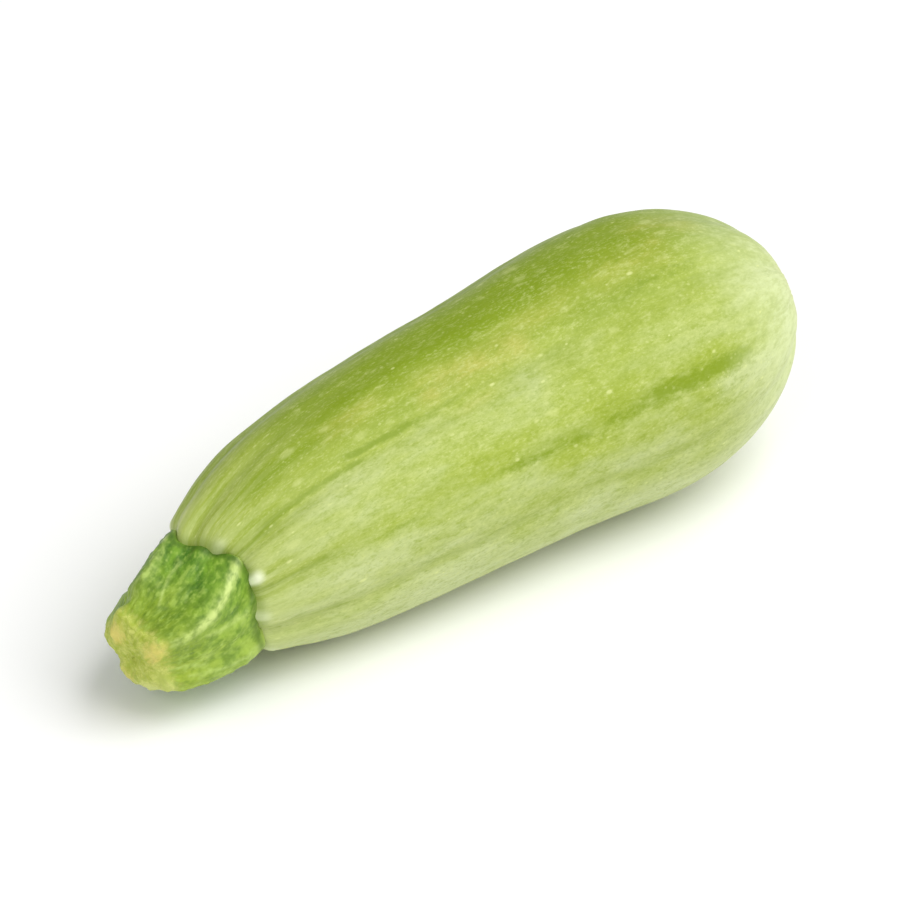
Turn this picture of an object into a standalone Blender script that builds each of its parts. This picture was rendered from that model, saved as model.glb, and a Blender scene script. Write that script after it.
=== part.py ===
# A light green zucchini, picked with a short stalk and lying on its side.
# Two solids: the ribbed fruit and the five-ribbed stalk that sits in its shoulder.
# Metres, +Z up. The stalk points to -X and the blossom end to +X. The origin is on the
# surface that the fruit rests on, under the middle of its bounding box.

from math import atan2, cos, exp, hypot, pi, radians, sin

import bmesh
import bpy
from mathutils import Vector

MM = 0.001

# Fruit: x is measured along its length from the foot of the stalk
FRUIT_LENGTH = 119.8 * MM
BELLY_X = 86.0 * MM
BELLY_RADIUS = 24.9 * MM
# Half-width of the fruit at a few places between the shoulder and the belly
SHOULDER_TO_BELLY = (
    (0.0 * MM, 10.6 * MM),
    (0.7 * MM, 12.9 * MM),
    (2.2 * MM, 14.4 * MM),
    (4.8 * MM, 15.7 * MM),
    (9.0 * MM, 17.5 * MM),
    (16.0 * MM, 19.4 * MM),
    (35.0 * MM, 21.6 * MM),
    (62.0 * MM, 23.1 * MM),
    (BELLY_X, BELLY_RADIUS),
)
FRUIT_SEGMENTS = 110
LIP_END = 4.8 * MM  # the rounded lip round the stalk
LIP_RINGS = 5
BARREL_RINGS = 15
CAP_RINGS = 11
RING_CROWDING = (1.5, 1.25)  # on the lip and the barrel the rings stand closer near the stalk
# End wall under the stalk, dished: x, radius
HIDDEN_END = ((1.4 * MM, 0.0), (0.84 * MM, 6.0 * MM))

# Ten furrows run from the shoulder to the blossom scar, every second one stronger
FURROWS = 10
FIRST_FURROW = radians(9.5)
FURROW_WANDER = radians(3.0)  # no two furrows are quite evenly spaced
WANDER_STEP = 2.3
FURROW_HALF_ANGLE = radians(6.5)
SHOULDER_DEPTH = (0.9 * MM, 1.5 * MM)  # weak furrow, strong furrow
BODY_DEPTH = (0.18 * MM, 0.42 * MM)
BLOSSOM_DEPTH = (0.45 * MM, 0.6 * MM)
SHOULDER_FADE = 13.0 * MM
# The shoulder's lobes reach over the foot of the stalk, some farther than others
SHOULDER_REACH = 1.9 * MM
REACH_CHANGE = 1.4 * MM
REACH_FADE = 7.0 * MM
FAR_LOBES = 3
FARTHEST_LOBE = radians(72.0)
BLOSSOM_FADE = 15.0 * MM
SCAR_CALM = 9.0 * MM  # furrows and sides come in over this distance from the scar
FIVE_SIDED = 0.4 * MM  # the skin bulges this much between strong furrows
OVAL = 0.35 * MM
UNDERSIDE = radians(270.0)
UNDERSIDE_SPREAD = radians(38.0)  # the side it grew on is smoother over this angle
UNDERSIDE_SMOOTHING = 0.85

# Blossom scar: a low corky button in a shallow ring
SCAR_RADIUS = 4.6 * MM
SCAR_RING = 1.0 * MM
# Section of ring and button: radius, height above the skin around
SCAR_SECTION = (
    (5.05 * MM, -0.5 * MM),
    (SCAR_RADIUS, -0.1 * MM),
    (4.1 * MM, 0.5 * MM),
    (2.3 * MM, 0.8 * MM),
    (0.0, 0.65 * MM),
)
SCAR_CORNERS = 0.045  # share of its radius by which the button has five soft corners
SCAR_TURN = 0.6

# Stalk: x runs from its root, inside the fruit, to the cut end
STALK_LENGTH = 20.7 * MM
STALK_ROOT = 2.6 * MM
STALK_PROFILE = (
    (STALK_ROOT, 11.6 * MM),
    (0.8 * MM, 12.3 * MM),
    (-1.5 * MM, 12.9 * MM),
    (-6.5 * MM, 12.8 * MM),
    (-11.5 * MM, 11.8 * MM),
    (-15.5 * MM, 10.5 * MM),
    (-19.0 * MM, 9.2 * MM),
)
STALK_SEGMENTS = 70
STALK_RINGS = 15
# The cut has healed to a low dome: share of the rim's radius, distance from the very end
CUT_DOME = (
    (0.95, 0.95 * MM),
    (0.82, 0.35 * MM),
    (0.5, 0.0 * MM),
    (0.0, 0.2 * MM),
)
MAIN_RIBS = 5
FIRST_RIB = radians(122.0)
RIB_TWIST = radians(17.0)  # the ribs turn this far between the foot and the cut
RIB_BOW = radians(8.0)  # and bow this much farther halfway
RIB_SHARPNESS = 1.6
VALLEY_DEPTH = (0.16, 0.24)  # share of the stalk's radius, at the foot and at the cut
SMALL_RIB_HEIGHT = 0.05
SMALL_RIB_SHARPNESS = 3

# Lie of the fruit: its middle line climbs to the belly and bends at the stalk
REST_SLOPE = radians(3.5)
STALK_DROOP = radians(6.5)
STALK_TURN = radians(8.5)
BEND_LENGTH = 22.5 * MM
BLOSSOM_SWING = 2.2 * MM  # the blossom end leans this far towards -Y
SWING_START = 60.0 * MM
REST_FLAT_DEPTH = 0.6 * MM  # the underside is pressed flat by this much

SEAT_GAP = 0.3 * MM  # between the stalk and the socket it sits in

FRUIT_GREEN = (0.47, 0.57, 0.14, 1.0)
FRUIT_ROUGHNESS = 0.38
STALK_GREEN = (0.22, 0.37, 0.06, 1.0)
STALK_ROUGHNESS = 0.55
SHARP_EDGE = radians(50.0)
SAME_PLACE = 0.001 * MM  # points closer than this are one
FULL_TURN = 2 * pi


def through_points(points, x):
    """Height at x of a smooth curve through (x, height) points in rising x, level at the last."""
    last = len(points) - 1
    i = max(k for k in range(last) if points[k][0] <= x or k == 0)
    (x0, h0), (x1, h1) = points[i], points[i + 1]

    def slope(k):
        if k == last:
            return 0.0
        a, b = points[max(k - 1, 0)], points[k + 1]
        return (b[1] - a[1]) / (b[0] - a[0])

    span = x1 - x0
    t = min(max((x - x0) / span, 0.0), 1.0)
    ease = t * t * (3 - 2 * t)
    lift = slope(i) * span * t * (1 - t) ** 2 - slope(i + 1) * span * t * t * (1 - t)
    return h0 + (h1 - h0) * ease + lift


def angle_between(a, b):
    return abs((a - b + pi) % FULL_TURN - pi)


def side_relief(angle):
    """1 all round, falling off on the smooth underside."""
    off = angle_between(angle, UNDERSIDE) / UNDERSIDE_SPREAD
    return 1.0 - UNDERSIDE_SMOOTHING * exp(-off * off)


def furrow(x, angle):
    """How far the skin sinks below the plain round shape."""
    relief = side_relief(angle)
    shoulder = exp(-max(x, 0.0) / SHOULDER_FADE)
    blossom = exp(-(((FRUIT_LENGTH - x) / BLOSSOM_FADE) ** 2))
    sunk = 0.0
    for k in range(FURROWS):
        centre = FIRST_FURROW + k * FULL_TURN / FURROWS + FURROW_WANDER * sin(WANDER_STEP * k)
        share = exp(-((angle_between(angle, centre) / FURROW_HALF_ANGLE) ** 2))
        strong = k % 2
        ends = SHOULDER_DEPTH[strong] * shoulder + BLOSSOM_DEPTH[strong] * blossom
        sunk += (BODY_DEPTH[strong] * relief + ends) * share
    return sunk


def fruit_swell(x, angle):
    """Five broad sides and a slightly oval section, fading at both ends."""
    barrel = sin(pi * min(max(x / FRUIT_LENGTH, 0.0), 1.0))
    five = FIVE_SIDED * cos(MAIN_RIBS * (angle - FIRST_FURROW))
    return (five * side_relief(angle) + OVAL * cos(2 * angle)) * barrel


def fruit_radius(x, plain, angle):
    if plain < SCAR_RADIUS + SCAR_RING and x > BELLY_X:
        return plain * (1.0 + SCAR_CORNERS * cos(MAIN_RIBS * angle + SCAR_TURN))
    share = min(max(plain - SCAR_RADIUS, 0.0) / SCAR_CALM, 1.0)
    return plain + share * (fruit_swell(x, angle) - furrow(x, angle))


def shoulder_reach(x, angle):
    """How far towards the stalk the skin is drawn over its foot."""
    reach = SHOULDER_REACH + REACH_CHANGE * cos(FAR_LOBES * (angle - FARTHEST_LOBE))
    return reach * exp(-max(x, 0.0) / REACH_FADE)


def stalk_radius(x, plain, angle):
    """Five main ribs and a small one in each valley, bowed as they turn from foot to cut."""
    along = min(max(-x / STALK_LENGTH, 0.0), 1.0)
    phase = angle - FIRST_RIB - RIB_TWIST * along - RIB_BOW * sin(pi * along)
    crest = (0.5 + 0.5 * cos(MAIN_RIBS * phase)) ** RIB_SHARPNESS
    small = max(cos(MAIN_RIBS * (phase - pi / MAIN_RIBS)), 0.0) ** SMALL_RIB_SHARPNESS
    valley = VALLEY_DEPTH[0] + (VALLEY_DEPTH[1] - VALLEY_DEPTH[0]) * along * along
    return plain * (1.0 - valley * (1.0 - crest) + SMALL_RIB_HEIGHT * small * (1.0 - along))


def middle_line(x):
    """Point and direction of the fruit's middle line, straight on through the stalk."""
    if x > 0:
        curve, fade = BEND_LENGTH * (1 - exp(-x / BEND_LENGTH)), exp(-x / BEND_LENGTH)
    else:
        curve, fade = x, 1.0
    swing = max(x - SWING_START, 0.0) / (FRUIT_LENGTH - SWING_START)
    sway = -2 * BLOSSOM_SWING * swing / (FRUIT_LENGTH - SWING_START)
    across = STALK_TURN * curve - BLOSSOM_SWING * swing * swing
    point = Vector((x, across, REST_SLOPE * x + STALK_DROOP * curve))
    direction = Vector((1.0, STALK_TURN * fade + sway, REST_SLOPE + STALK_DROOP * fade))
    return point, direction.normalized()


def lay_along_middle(bm):
    """Carries a shape turned about X onto the middle line."""
    for vert in bm.verts:
        point, direction = middle_line(vert.co.x)
        side = Vector((0, 0, 1)).cross(direction).normalized()
        up = direction.cross(side)
        vert.co = point + side * vert.co.y + up * vert.co.z


def fruit_profile():
    """(x, radius) points from the wall under the stalk to the blossom scar."""
    points = list(HIDDEN_END)
    for k in range(LIP_RINGS + 1):
        x = LIP_END * (k / LIP_RINGS) ** RING_CROWDING[0]
        points.append((x, through_points(SHOULDER_TO_BELLY, x)))
    for k in range(1, BARREL_RINGS + 1):
        x = LIP_END + (BELLY_X - LIP_END) * (k / BARREL_RINGS) ** RING_CROWDING[1]
        points.append((x, through_points(SHOULDER_TO_BELLY, x)))
    cap = FRUIT_LENGTH - BELLY_X
    edge = SCAR_RADIUS + SCAR_RING
    cap_end = pi / 2 - edge / BELLY_RADIUS
    for k in range(1, CAP_RINGS + 1):
        turn = cap_end * k / CAP_RINGS
        points.append((BELLY_X + cap * sin(turn), BELLY_RADIUS * cos(turn)))
    brim = points[-1][0]
    for radius, height in SCAR_SECTION:
        points.append((brim + height, radius))
    return points


def stalk_profile():
    """(x, radius) points from the root to the middle of the cut face."""
    rising = sorted(STALK_PROFILE)
    end = rising[0][0]
    points = [(STALK_ROOT, 0.0)]
    for k in range(STALK_RINGS + 1):
        x = STALK_ROOT + (end - STALK_ROOT) * k / STALK_RINGS
        points.append((x, through_points(rising, x)))
    rim = points[-1][1]
    for share, below_end in CUT_DOME:
        points.append((-STALK_LENGTH + below_end, rim * share))
    return points


def turned(profile, segments):
    """A closed shape made by spinning the profile about X."""
    bm = bmesh.new()
    verts = [bm.verts.new((x, 0.0, radius)) for x, radius in profile]
    edges = [bm.edges.new(pair) for pair in zip(verts, verts[1:])]
    bmesh.ops.spin(
        bm,
        geom=verts + edges,
        cent=(0, 0, 0),
        axis=(1, 0, 0),
        angle=FULL_TURN,
        steps=segments,
        use_merge=True,
    )
    bmesh.ops.remove_doubles(bm, verts=bm.verts, dist=SAME_PLACE)
    bmesh.ops.recalc_face_normals(bm, faces=bm.faces)
    return bm


def shape_radially(bm, radius_at):
    for vert in bm.verts:
        plain = hypot(vert.co.y, vert.co.z)
        if plain > SAME_PLACE:
            angle = atan2(vert.co.z, vert.co.y)
            share = radius_at(vert.co.x, plain, angle) / plain
            vert.co.y *= share
            vert.co.z *= share


def fruit_shape():
    bm = turned(fruit_profile(), FRUIT_SEGMENTS)
    shape_radially(bm, fruit_radius)
    for vert in bm.verts:
        vert.co.x -= shoulder_reach(vert.co.x, atan2(vert.co.z, vert.co.y))
    lay_along_middle(bm)
    return bm


def stalk_shape(grown=0.0):
    """The stalk, or with grown above zero the room that it needs in the fruit."""
    bm = turned(stalk_profile(), STALK_SEGMENTS)
    shape_radially(bm, lambda x, plain, angle: stalk_radius(x, plain, angle) + grown)
    if grown:
        for vert in bm.verts:
            if vert.co.x > STALK_ROOT - SAME_PLACE:
                vert.co.x += grown
    lay_along_middle(bm)
    return bm


def press_flat(bm):
    """Cuts the fruit level with the surface it rests on, at z = 0."""
    geometry = bm.verts[:] + bm.edges[:] + bm.faces[:]
    cut = bmesh.ops.bisect_plane(
        bm, geom=geometry, dist=SAME_PLACE, plane_co=(0, 0, 0), plane_no=(0, 0, -1), clear_outer=True
    )
    rim = [item for item in cut["geom_cut"] if isinstance(item, bmesh.types.BMEdge)]
    bmesh.ops.holes_fill(bm, edges=rim, sides=0)
    bmesh.ops.recalc_face_normals(bm, faces=bm.faces)


def skin(name, colour, roughness):
    material = bpy.data.materials.new(name)
    material.use_nodes = True
    shader = material.node_tree.nodes["Principled BSDF"]
    shader.inputs["Base Color"].default_value = colour
    shader.inputs["Roughness"].default_value = roughness
    shader.inputs["Metallic"].default_value = 0.0
    return material


def add_object(name, bm, material=None):
    bmesh.ops.triangulate(bm, faces=bm.faces)  # flat faces give the socket a clean edge
    mesh = bpy.data.meshes.new(name)
    bm.to_mesh(mesh)
    bm.free()
    mesh.shade_smooth()
    mesh.set_sharp_from_angle(angle=SHARP_EDGE)
    if material:
        mesh.materials.append(material)
    obj = bpy.data.objects.new(name, mesh)
    bpy.context.scene.collection.objects.link(obj)
    return obj


def set_down(shapes, resting):
    """Moves all shapes so that the box is centred over the origin and resting dips below z = 0."""
    points = [vert.co for bm in shapes[:2] for vert in bm.verts]
    low_x, high_x = min(p.x for p in points), max(p.x for p in points)
    low_y, high_y = min(p.y for p in points), max(p.y for p in points)
    lowest = min(vert.co.z for vert in resting.verts)
    move = Vector((-(low_x + high_x) / 2, -(low_y + high_y) / 2, -lowest - REST_FLAT_DEPTH))
    for bm in shapes:
        bmesh.ops.translate(bm, verts=bm.verts, vec=move)


def seat_stalk(fruit, room):
    """Opens the socket for the stalk in the fruit's shoulder."""
    room.hide_render = True
    room.display_type = "WIRE"
    socket = fruit.modifiers.new("stalk_socket", "BOOLEAN")
    socket.operation = "DIFFERENCE"
    socket.solver = "EXACT"
    socket.object = room


def main():
    for obj in list(bpy.data.objects):
        bpy.data.objects.remove(obj)
    fruit_bm, stalk_bm, room_bm = fruit_shape(), stalk_shape(), stalk_shape(SEAT_GAP)
    set_down([fruit_bm, stalk_bm, room_bm], resting=fruit_bm)
    press_flat(fruit_bm)
    fruit = add_object("fruit", fruit_bm, skin("fruit_skin", FRUIT_GREEN, FRUIT_ROUGHNESS))
    add_object("stalk", stalk_bm, skin("stalk_skin", STALK_GREEN, STALK_ROUGHNESS))
    seat_stalk(fruit, add_object("stalk_room", room_bm))


main()
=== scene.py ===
# A light green zucchini on a white table, seen from its stalk side.
# Sizes in the dictionaries are in millimetres and degrees unless a note says otherwise.

from math import cos, pi, radians, sin

import bmesh
import bpy
import numpy as np
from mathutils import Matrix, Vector, noise


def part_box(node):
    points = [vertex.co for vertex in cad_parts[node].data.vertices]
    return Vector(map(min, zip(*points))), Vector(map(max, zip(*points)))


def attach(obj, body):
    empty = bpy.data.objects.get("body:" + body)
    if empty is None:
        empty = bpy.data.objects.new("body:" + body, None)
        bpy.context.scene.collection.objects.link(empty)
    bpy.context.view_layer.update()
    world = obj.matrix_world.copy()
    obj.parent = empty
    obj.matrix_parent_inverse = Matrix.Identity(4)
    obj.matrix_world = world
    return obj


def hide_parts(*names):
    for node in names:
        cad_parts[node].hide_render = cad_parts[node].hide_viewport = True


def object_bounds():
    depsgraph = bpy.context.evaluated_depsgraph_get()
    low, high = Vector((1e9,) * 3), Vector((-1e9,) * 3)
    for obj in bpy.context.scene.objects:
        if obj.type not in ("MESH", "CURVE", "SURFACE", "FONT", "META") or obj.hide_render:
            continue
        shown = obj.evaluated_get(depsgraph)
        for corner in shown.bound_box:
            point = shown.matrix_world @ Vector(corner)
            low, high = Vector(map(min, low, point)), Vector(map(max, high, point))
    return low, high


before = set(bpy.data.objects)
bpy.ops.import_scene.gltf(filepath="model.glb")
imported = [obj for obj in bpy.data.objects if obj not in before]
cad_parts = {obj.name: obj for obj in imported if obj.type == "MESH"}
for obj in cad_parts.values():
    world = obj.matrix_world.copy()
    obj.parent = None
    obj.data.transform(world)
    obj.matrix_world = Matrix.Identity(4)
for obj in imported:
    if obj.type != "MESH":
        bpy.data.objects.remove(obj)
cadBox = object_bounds()
mm = 0.001

# Lie of the fruit: the middle line that both pieces follow, x = 0 at the foot of the stalk
lie = {
    "slope": 3.5,  # rise towards the blossom end
    "stalkDroop": 6.5,  # the stalk hangs lower by this much
    "stalkTurn": 8.5,  # and turns to one side
    "bendLength": 22.5,  # the bend fades into the fruit over this length
    "blossomSwing": 2.2,  # the blossom end swings to the same side
    "swingStart": 60.0,
    "swingEnd": 119.8,
}


def curveThrough(points, x):  # smooth curve through (x, height) points, level at the last
    px, py = np.array(points, float).T
    slope = np.zeros(len(px))
    slope[0] = (py[1] - py[0]) / (px[1] - px[0])
    slope[1:-1] = (py[2:] - py[:-2]) / (px[2:] - px[:-2])
    i = np.clip(np.searchsorted(px, x, side="right") - 1, 0, len(px) - 2)
    span = px[i + 1] - px[i]
    t = np.clip((x - px[i]) / span, 0, 1)
    eased = t * t * (3 - 2 * t)
    lift = slope[i] * span * t * (1 - t) ** 2 - slope[i + 1] * span * t * t * (1 - t)
    return py[i] + (py[i + 1] - py[i]) * eased + lift


def fade(value, low, high):  # 0 below low, 1 above high, eased between
    t = np.clip((value - low) / (high - low), 0, 1)
    return t * t * (3 - 2 * t)


def fadeFromFoot(x, length):  # 1 at the foot of the stalk, less and less along the fruit
    return np.exp(-np.maximum(x, 0) / length)


def bell(value, middle, halfWidth):  # 1 at the middle, less to both sides
    return np.exp(-(((value - middle) / halfWidth) ** 2))


def turnGap(angle, centre):  # degrees between two directions round the fruit
    return np.abs((angle - centre + 180) % 360 - 180)


def sideBell(angle, centre, halfWidth):  # 1 in this direction, less beside it
    return bell(turnGap(angle, centre), 0, halfWidth)


def softNoise(points, size):  # smooth, from about -1 to 1
    return np.array([noise.noise(p) for p in points / size])


def doubleNoise(points, large, small, share, shift):  # a smaller noise on a larger one
    return softNoise(points, large) + share * softNoise(points + shift, small)


def fibreNoise(points, along, around, shift=0):  # the place is scaled along and round the piece
    return softNoise(points * [along, around, around] + shift, 1.0)


def spunMesh(name, outline, steps):
    bm = bmesh.new()
    ringLayer = bm.verts.layers.float.new("ring")
    line = []
    for i, (x, radius) in enumerate(outline):
        vert = bm.verts.new((x * mm, 0, radius * mm))
        vert[ringLayer] = i
        line.append(vert)
    edges = [bm.edges.new(pair) for pair in zip(line, line[1:])]
    bmesh.ops.spin(
        bm, geom=line + edges, cent=(0, 0, 0), axis=(1, 0, 0), angle=2 * pi, steps=steps, use_merge=True
    )
    samePlace = 0.0001 * mm
    bmesh.ops.remove_doubles(bm, verts=bm.verts, dist=samePlace)
    bmesh.ops.recalc_face_normals(bm, faces=bm.faces)
    mesh = bpy.data.meshes.new(name)
    bm.to_mesh(mesh)
    bm.free()
    mesh.shade_smooth()
    return mesh


def readRings(mesh, outline):  # for each point its place on the outline and its angle
    count = len(mesh.vertices)
    flat = np.empty(count * 3)
    mesh.vertices.foreach_get("co", flat)
    points = flat.reshape(-1, 3) / mm
    ring = np.empty(count, np.float32)
    mesh.attributes["ring"].data.foreach_get("value", ring)
    ring = np.rint(ring).astype(int)
    line = np.array(outline, float)
    steps = np.gradient(line, axis=0)
    steps *= np.sign(line[-1, 0] - line[0, 0]) / np.linalg.norm(steps, axis=1)[:, None]
    walked = np.concatenate([[0], np.cumsum(np.linalg.norm(np.diff(line, axis=0), axis=1))])
    return {
        "x": line[ring, 0],
        "radius": line[ring, 1],
        "outX": -steps[ring, 1],
        "outRadius": steps[ring, 0],
        "walked": walked[ring],
        "angle": np.degrees(np.arctan2(points[:, 2], points[:, 1])) % 360,
    }


def alongMiddle(x, radius, angle):
    bend = lie["bendLength"]
    easing = np.exp(-np.maximum(x, 0) / bend)
    curve = np.where(x > 0, bend * (1 - easing), x)
    turn, droop, slope = (radians(lie[k]) for k in ("stalkTurn", "stalkDroop", "slope"))
    reach = lie["swingEnd"] - lie["swingStart"]
    swing = np.maximum(x - lie["swingStart"], 0) / reach
    swingSlope = 2 * lie["blossomSwing"] * swing / reach
    centre = np.stack([x, turn * curve - lie["blossomSwing"] * swing**2, slope * x + droop * curve], 1)
    forward = np.stack([np.ones_like(x), turn * easing - swingSlope, slope + droop * easing], 1)
    forward /= np.linalg.norm(forward, axis=1)[:, None]
    side = np.cross([0.0, 0.0, 1.0], forward)
    side /= np.linalg.norm(side, axis=1)[:, None]
    up = np.cross(forward, side)
    a = np.radians(angle)
    return centre + radius[:, None] * (np.cos(a)[:, None] * side + np.sin(a)[:, None] * up)


def skinPlace(r, radius, angle):  # the skin's own place, for patterns that follow the surface
    return np.stack([r["walked"], radius * np.cos(angle), radius * np.sin(angle)], 1)


def writeMask(mesh, name, values):
    attribute = mesh.attributes.new(name, "FLOAT", "POINT")
    attribute.data.foreach_set("value", values.astype(np.float32))


def writePlace(mesh, name, values):
    attribute = mesh.attributes.new(name, "FLOAT_VECTOR", "POINT")
    attribute.data.foreach_set("vector", values.astype(np.float32).ravel())


def finishPiece(mesh, points, name, material):
    mesh.vertices.foreach_set("co", (points * mm).ravel())
    mesh.attributes.remove(mesh.attributes["ring"])
    mesh.materials.append(material)
    mesh.update()
    piece = bpy.data.objects.new(name, mesh)
    bpy.context.scene.collection.objects.link(piece)
    return piece


# Small helpers for materials


def srgb(red, green, blue):
    def linear(c):
        c = c / 255
        return c / 12.92 if c <= 0.04045 else ((c + 0.055) / 1.055) ** 2.4

    return (linear(red), linear(green), linear(blue), 1.0)


def addNode(tree, kind, **settings):
    node = tree.nodes.new("ShaderNode" + kind)
    for key, value in settings.items():
        setattr(node, key, value)
    return node


def feed(tree, socket, value):  # a link where value is a socket, else a plain value
    if isinstance(value, bpy.types.NodeSocket):
        tree.links.new(value, socket)
    else:
        socket.default_value = value


def calc(tree, operation, first, second=0.0, clamp=False):
    node = addNode(tree, "Math", operation=operation, use_clamp=clamp)
    feed(tree, node.inputs[0], first)
    feed(tree, node.inputs[1], second)
    return node.outputs[0]


def times(tree, first, second):
    return calc(tree, "MULTIPLY", first, second)


def vectorCalc(tree, operation, first, second):
    node = addNode(tree, "VectorMath", operation=operation)
    feed(tree, node.inputs[0], first)
    feed(tree, node.inputs["Scale" if operation == "SCALE" else 1], second)
    return node.outputs[0]


def ease(tree, value, low, high, bottom=0.0, top=1.0):
    node = addNode(tree, "MapRange", interpolation_type="SMOOTHSTEP")
    for socket, given in zip(node.inputs, (value, low, high, bottom, top)):
        feed(tree, socket, given)
    return node.outputs[0]


def tint(tree, amount, below, above, mode="MIX"):
    node = addNode(tree, "Mix", data_type="RGBA", blend_type=mode)
    feed(tree, node.inputs[0], amount)
    feed(tree, node.inputs[6], below)
    feed(tree, node.inputs[7], above)
    return node.outputs[2]


def paintOver(tree, colour, paint, layers):  # from below to above: mask, colour's name, blend mode
    for mask, name, *mode in layers:
        colour = tint(tree, mask, colour, paint[name], *mode)
    return colour


def noiseAt(tree, place, detail=2.0, roughness=0.5, distortion=0.0):
    node = addNode(tree, "TexNoise")
    feed(tree, node.inputs["Vector"], place)
    node.inputs["Scale"].default_value = 1.0
    node.inputs["Detail"].default_value = detail
    node.inputs["Roughness"].default_value = roughness
    node.inputs["Distortion"].default_value = distortion
    return node.outputs["Fac"]


def stretched(tree, place, lengthwise, around, shift):
    node = addNode(tree, "Mapping", vector_type="POINT")
    feed(tree, node.inputs["Vector"], place)
    node.inputs["Location"].default_value = (shift, shift * 0.7, shift * 1.3)
    node.inputs["Scale"].default_value = (1 / lengthwise, 1 / around, 1 / around)
    return node.outputs[0]


def maskOf(tree, name):
    return addNode(tree, "Attribute", attribute_name=name).outputs["Fac"]


def unevenMask(tree, name, grain, low, high, bottom, top):  # a mask, weaker or stronger by the grain
    return times(tree, maskOf(tree, name), ease(tree, grain, low, high, bottom, top))


def placeOf(tree, name):
    return addNode(tree, "Attribute", attribute_name=name).outputs["Vector"]


def objectPlace(tree):  # object coordinates in mm
    coordinates = addNode(tree, "TexCoord").outputs["Object"]
    return vectorCalc(tree, "SCALE", coordinates, 1 / mm)


def newGroup(name, inputs, outputs):
    group = bpy.data.node_groups.new(name, "ShaderNodeTree")
    for label, kind, value in inputs:
        socket = group.interface.new_socket(label, in_out="INPUT", socket_type="NodeSocket" + kind)
        if value is not None:
            socket.default_value = value
    for label, kind in outputs:
        group.interface.new_socket(label, in_out="OUTPUT", socket_type="NodeSocket" + kind)
    return group, group.nodes.new("NodeGroupInput").outputs, group.nodes.new("NodeGroupOutput").inputs


def useGroup(tree, group, **values):
    node = addNode(tree, "Group", node_tree=group)
    for label, value in values.items():
        feed(tree, node.inputs[label], value)
    return node.outputs


def newMaterial(name):
    material = bpy.data.materials.new(name)
    material.use_nodes = True
    return material, material.node_tree, material.node_tree.nodes["Principled BSDF"]


def addBump(tree, shader, height, distance, strength):
    bump = addNode(tree, "Bump")
    bump.inputs["Distance"].default_value = distance * mm
    bump.inputs["Strength"].default_value = strength
    feed(tree, bump.inputs["Height"], height)
    tree.links.new(bump.outputs["Normal"], shader.inputs["Normal"])


# Effects that both skins use


def makeFlecks():  # pale dots, one at most in each cell, of uneven size
    group, given, result = newGroup(
        "paleFlecks",
        [
            ("Place", "Vector", None),
            ("Spacing", "Float", 1.0),
            ("Size", "Float", 0.4),
            ("Cover", "Float", 0.5),
        ],
        [("Mask", "Float")],
    )
    smallest, core = 0.35, 0.35  # shares: of the largest dot, of a dot that is at full strength
    grid = vectorCalc(group, "SCALE", given["Place"], calc(group, "DIVIDE", 1.0, given["Spacing"]))
    cells = addNode(group, "TexVoronoi")
    feed(group, cells.inputs["Vector"], grid)
    cells.inputs["Scale"].default_value = 1.0
    lot = addNode(group, "SeparateColor")
    feed(group, lot.inputs[0], cells.outputs["Color"])
    reach = times(group, given["Size"], ease(group, lot.outputs[0], 0.0, 1.0, smallest, 1.0))
    dot = ease(group, calc(group, "DIVIDE", cells.outputs["Distance"], reach), 1.0, core)
    chosen = calc(group, "LESS_THAN", lot.outputs[1], given["Cover"])
    feed(group, result["Mask"], times(group, dot, chosen))
    return group


def makeLines():  # lines that run lengthwise, fade and start again
    group, given, result = newGroup(
        "lengthwiseLines",
        [
            ("Place", "Vector", None),
            ("Length", "Float", 20.0),
            ("Width", "Float", 1.0),
            ("Softness", "Float", 0.15),
        ],
        [("Mask", "Float")],
    )
    middle = 0.52  # noise above this is a line
    scale = addNode(group, "CombineXYZ")
    feed(group, scale.inputs[0], calc(group, "DIVIDE", 1.0, given["Length"]))
    feed(group, scale.inputs[1], calc(group, "DIVIDE", 1.0, given["Width"]))
    feed(group, scale.inputs[2], calc(group, "DIVIDE", 1.0, given["Width"]))
    place = vectorCalc(group, "MULTIPLY", given["Place"], scale.outputs[0])
    grain = noiseAt(group, place, detail=3.0, roughness=0.55)
    low = calc(group, "SUBTRACT", middle, given["Softness"])
    high = calc(group, "ADD", middle, given["Softness"])
    feed(group, result["Mask"], ease(group, grain, low, high))
    return group


def makeCork():  # dry cork with pits, for the scar and the cut stalk
    group, given, result = newGroup(
        "dryCork",
        [("Place", "Vector", None), ("Size", "Float", 1.0)],
        [("Shade", "Float"), ("Height", "Float")],
    )
    crackWidth, crackShade, crackHeight = 0.12, 0.55, 0.8
    place = vectorCalc(group, "SCALE", given["Place"], calc(group, "DIVIDE", 1.0, given["Size"]))
    lumps = noiseAt(group, place, detail=4.0, roughness=0.65, distortion=0.4)
    cells = addNode(group, "TexVoronoi", feature="DISTANCE_TO_EDGE")
    feed(group, cells.inputs["Vector"], place)
    cells.inputs["Scale"].default_value = 1.6
    cracks = ease(group, cells.outputs["Distance"], 0.0, crackWidth)
    shade = ease(group, cracks, 0.0, 1.0, crackShade, 1.0)
    height = ease(group, cracks, 0.0, 1.0, crackHeight, 1.0)
    feed(group, result["Shade"], times(group, ease(group, lumps, 0.3, 0.7), shade))
    feed(group, result["Height"], times(group, lumps, height))
    return group


flecksGroup, linesGroup, corkGroup = makeFlecks(), makeLines(), makeCork()


def coloursOf(piece):
    return {name: srgb(*colour) for name, colour in piece["colours"].items()}


def grainsOf(tree, place, piece):
    grains = {}
    for name, (lengthwise, around, shift, detail, roughness) in piece["grains"].items():
        grains[name] = noiseAt(tree, stretched(tree, place, lengthwise, around, shift), detail, roughness)
    return grains


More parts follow.
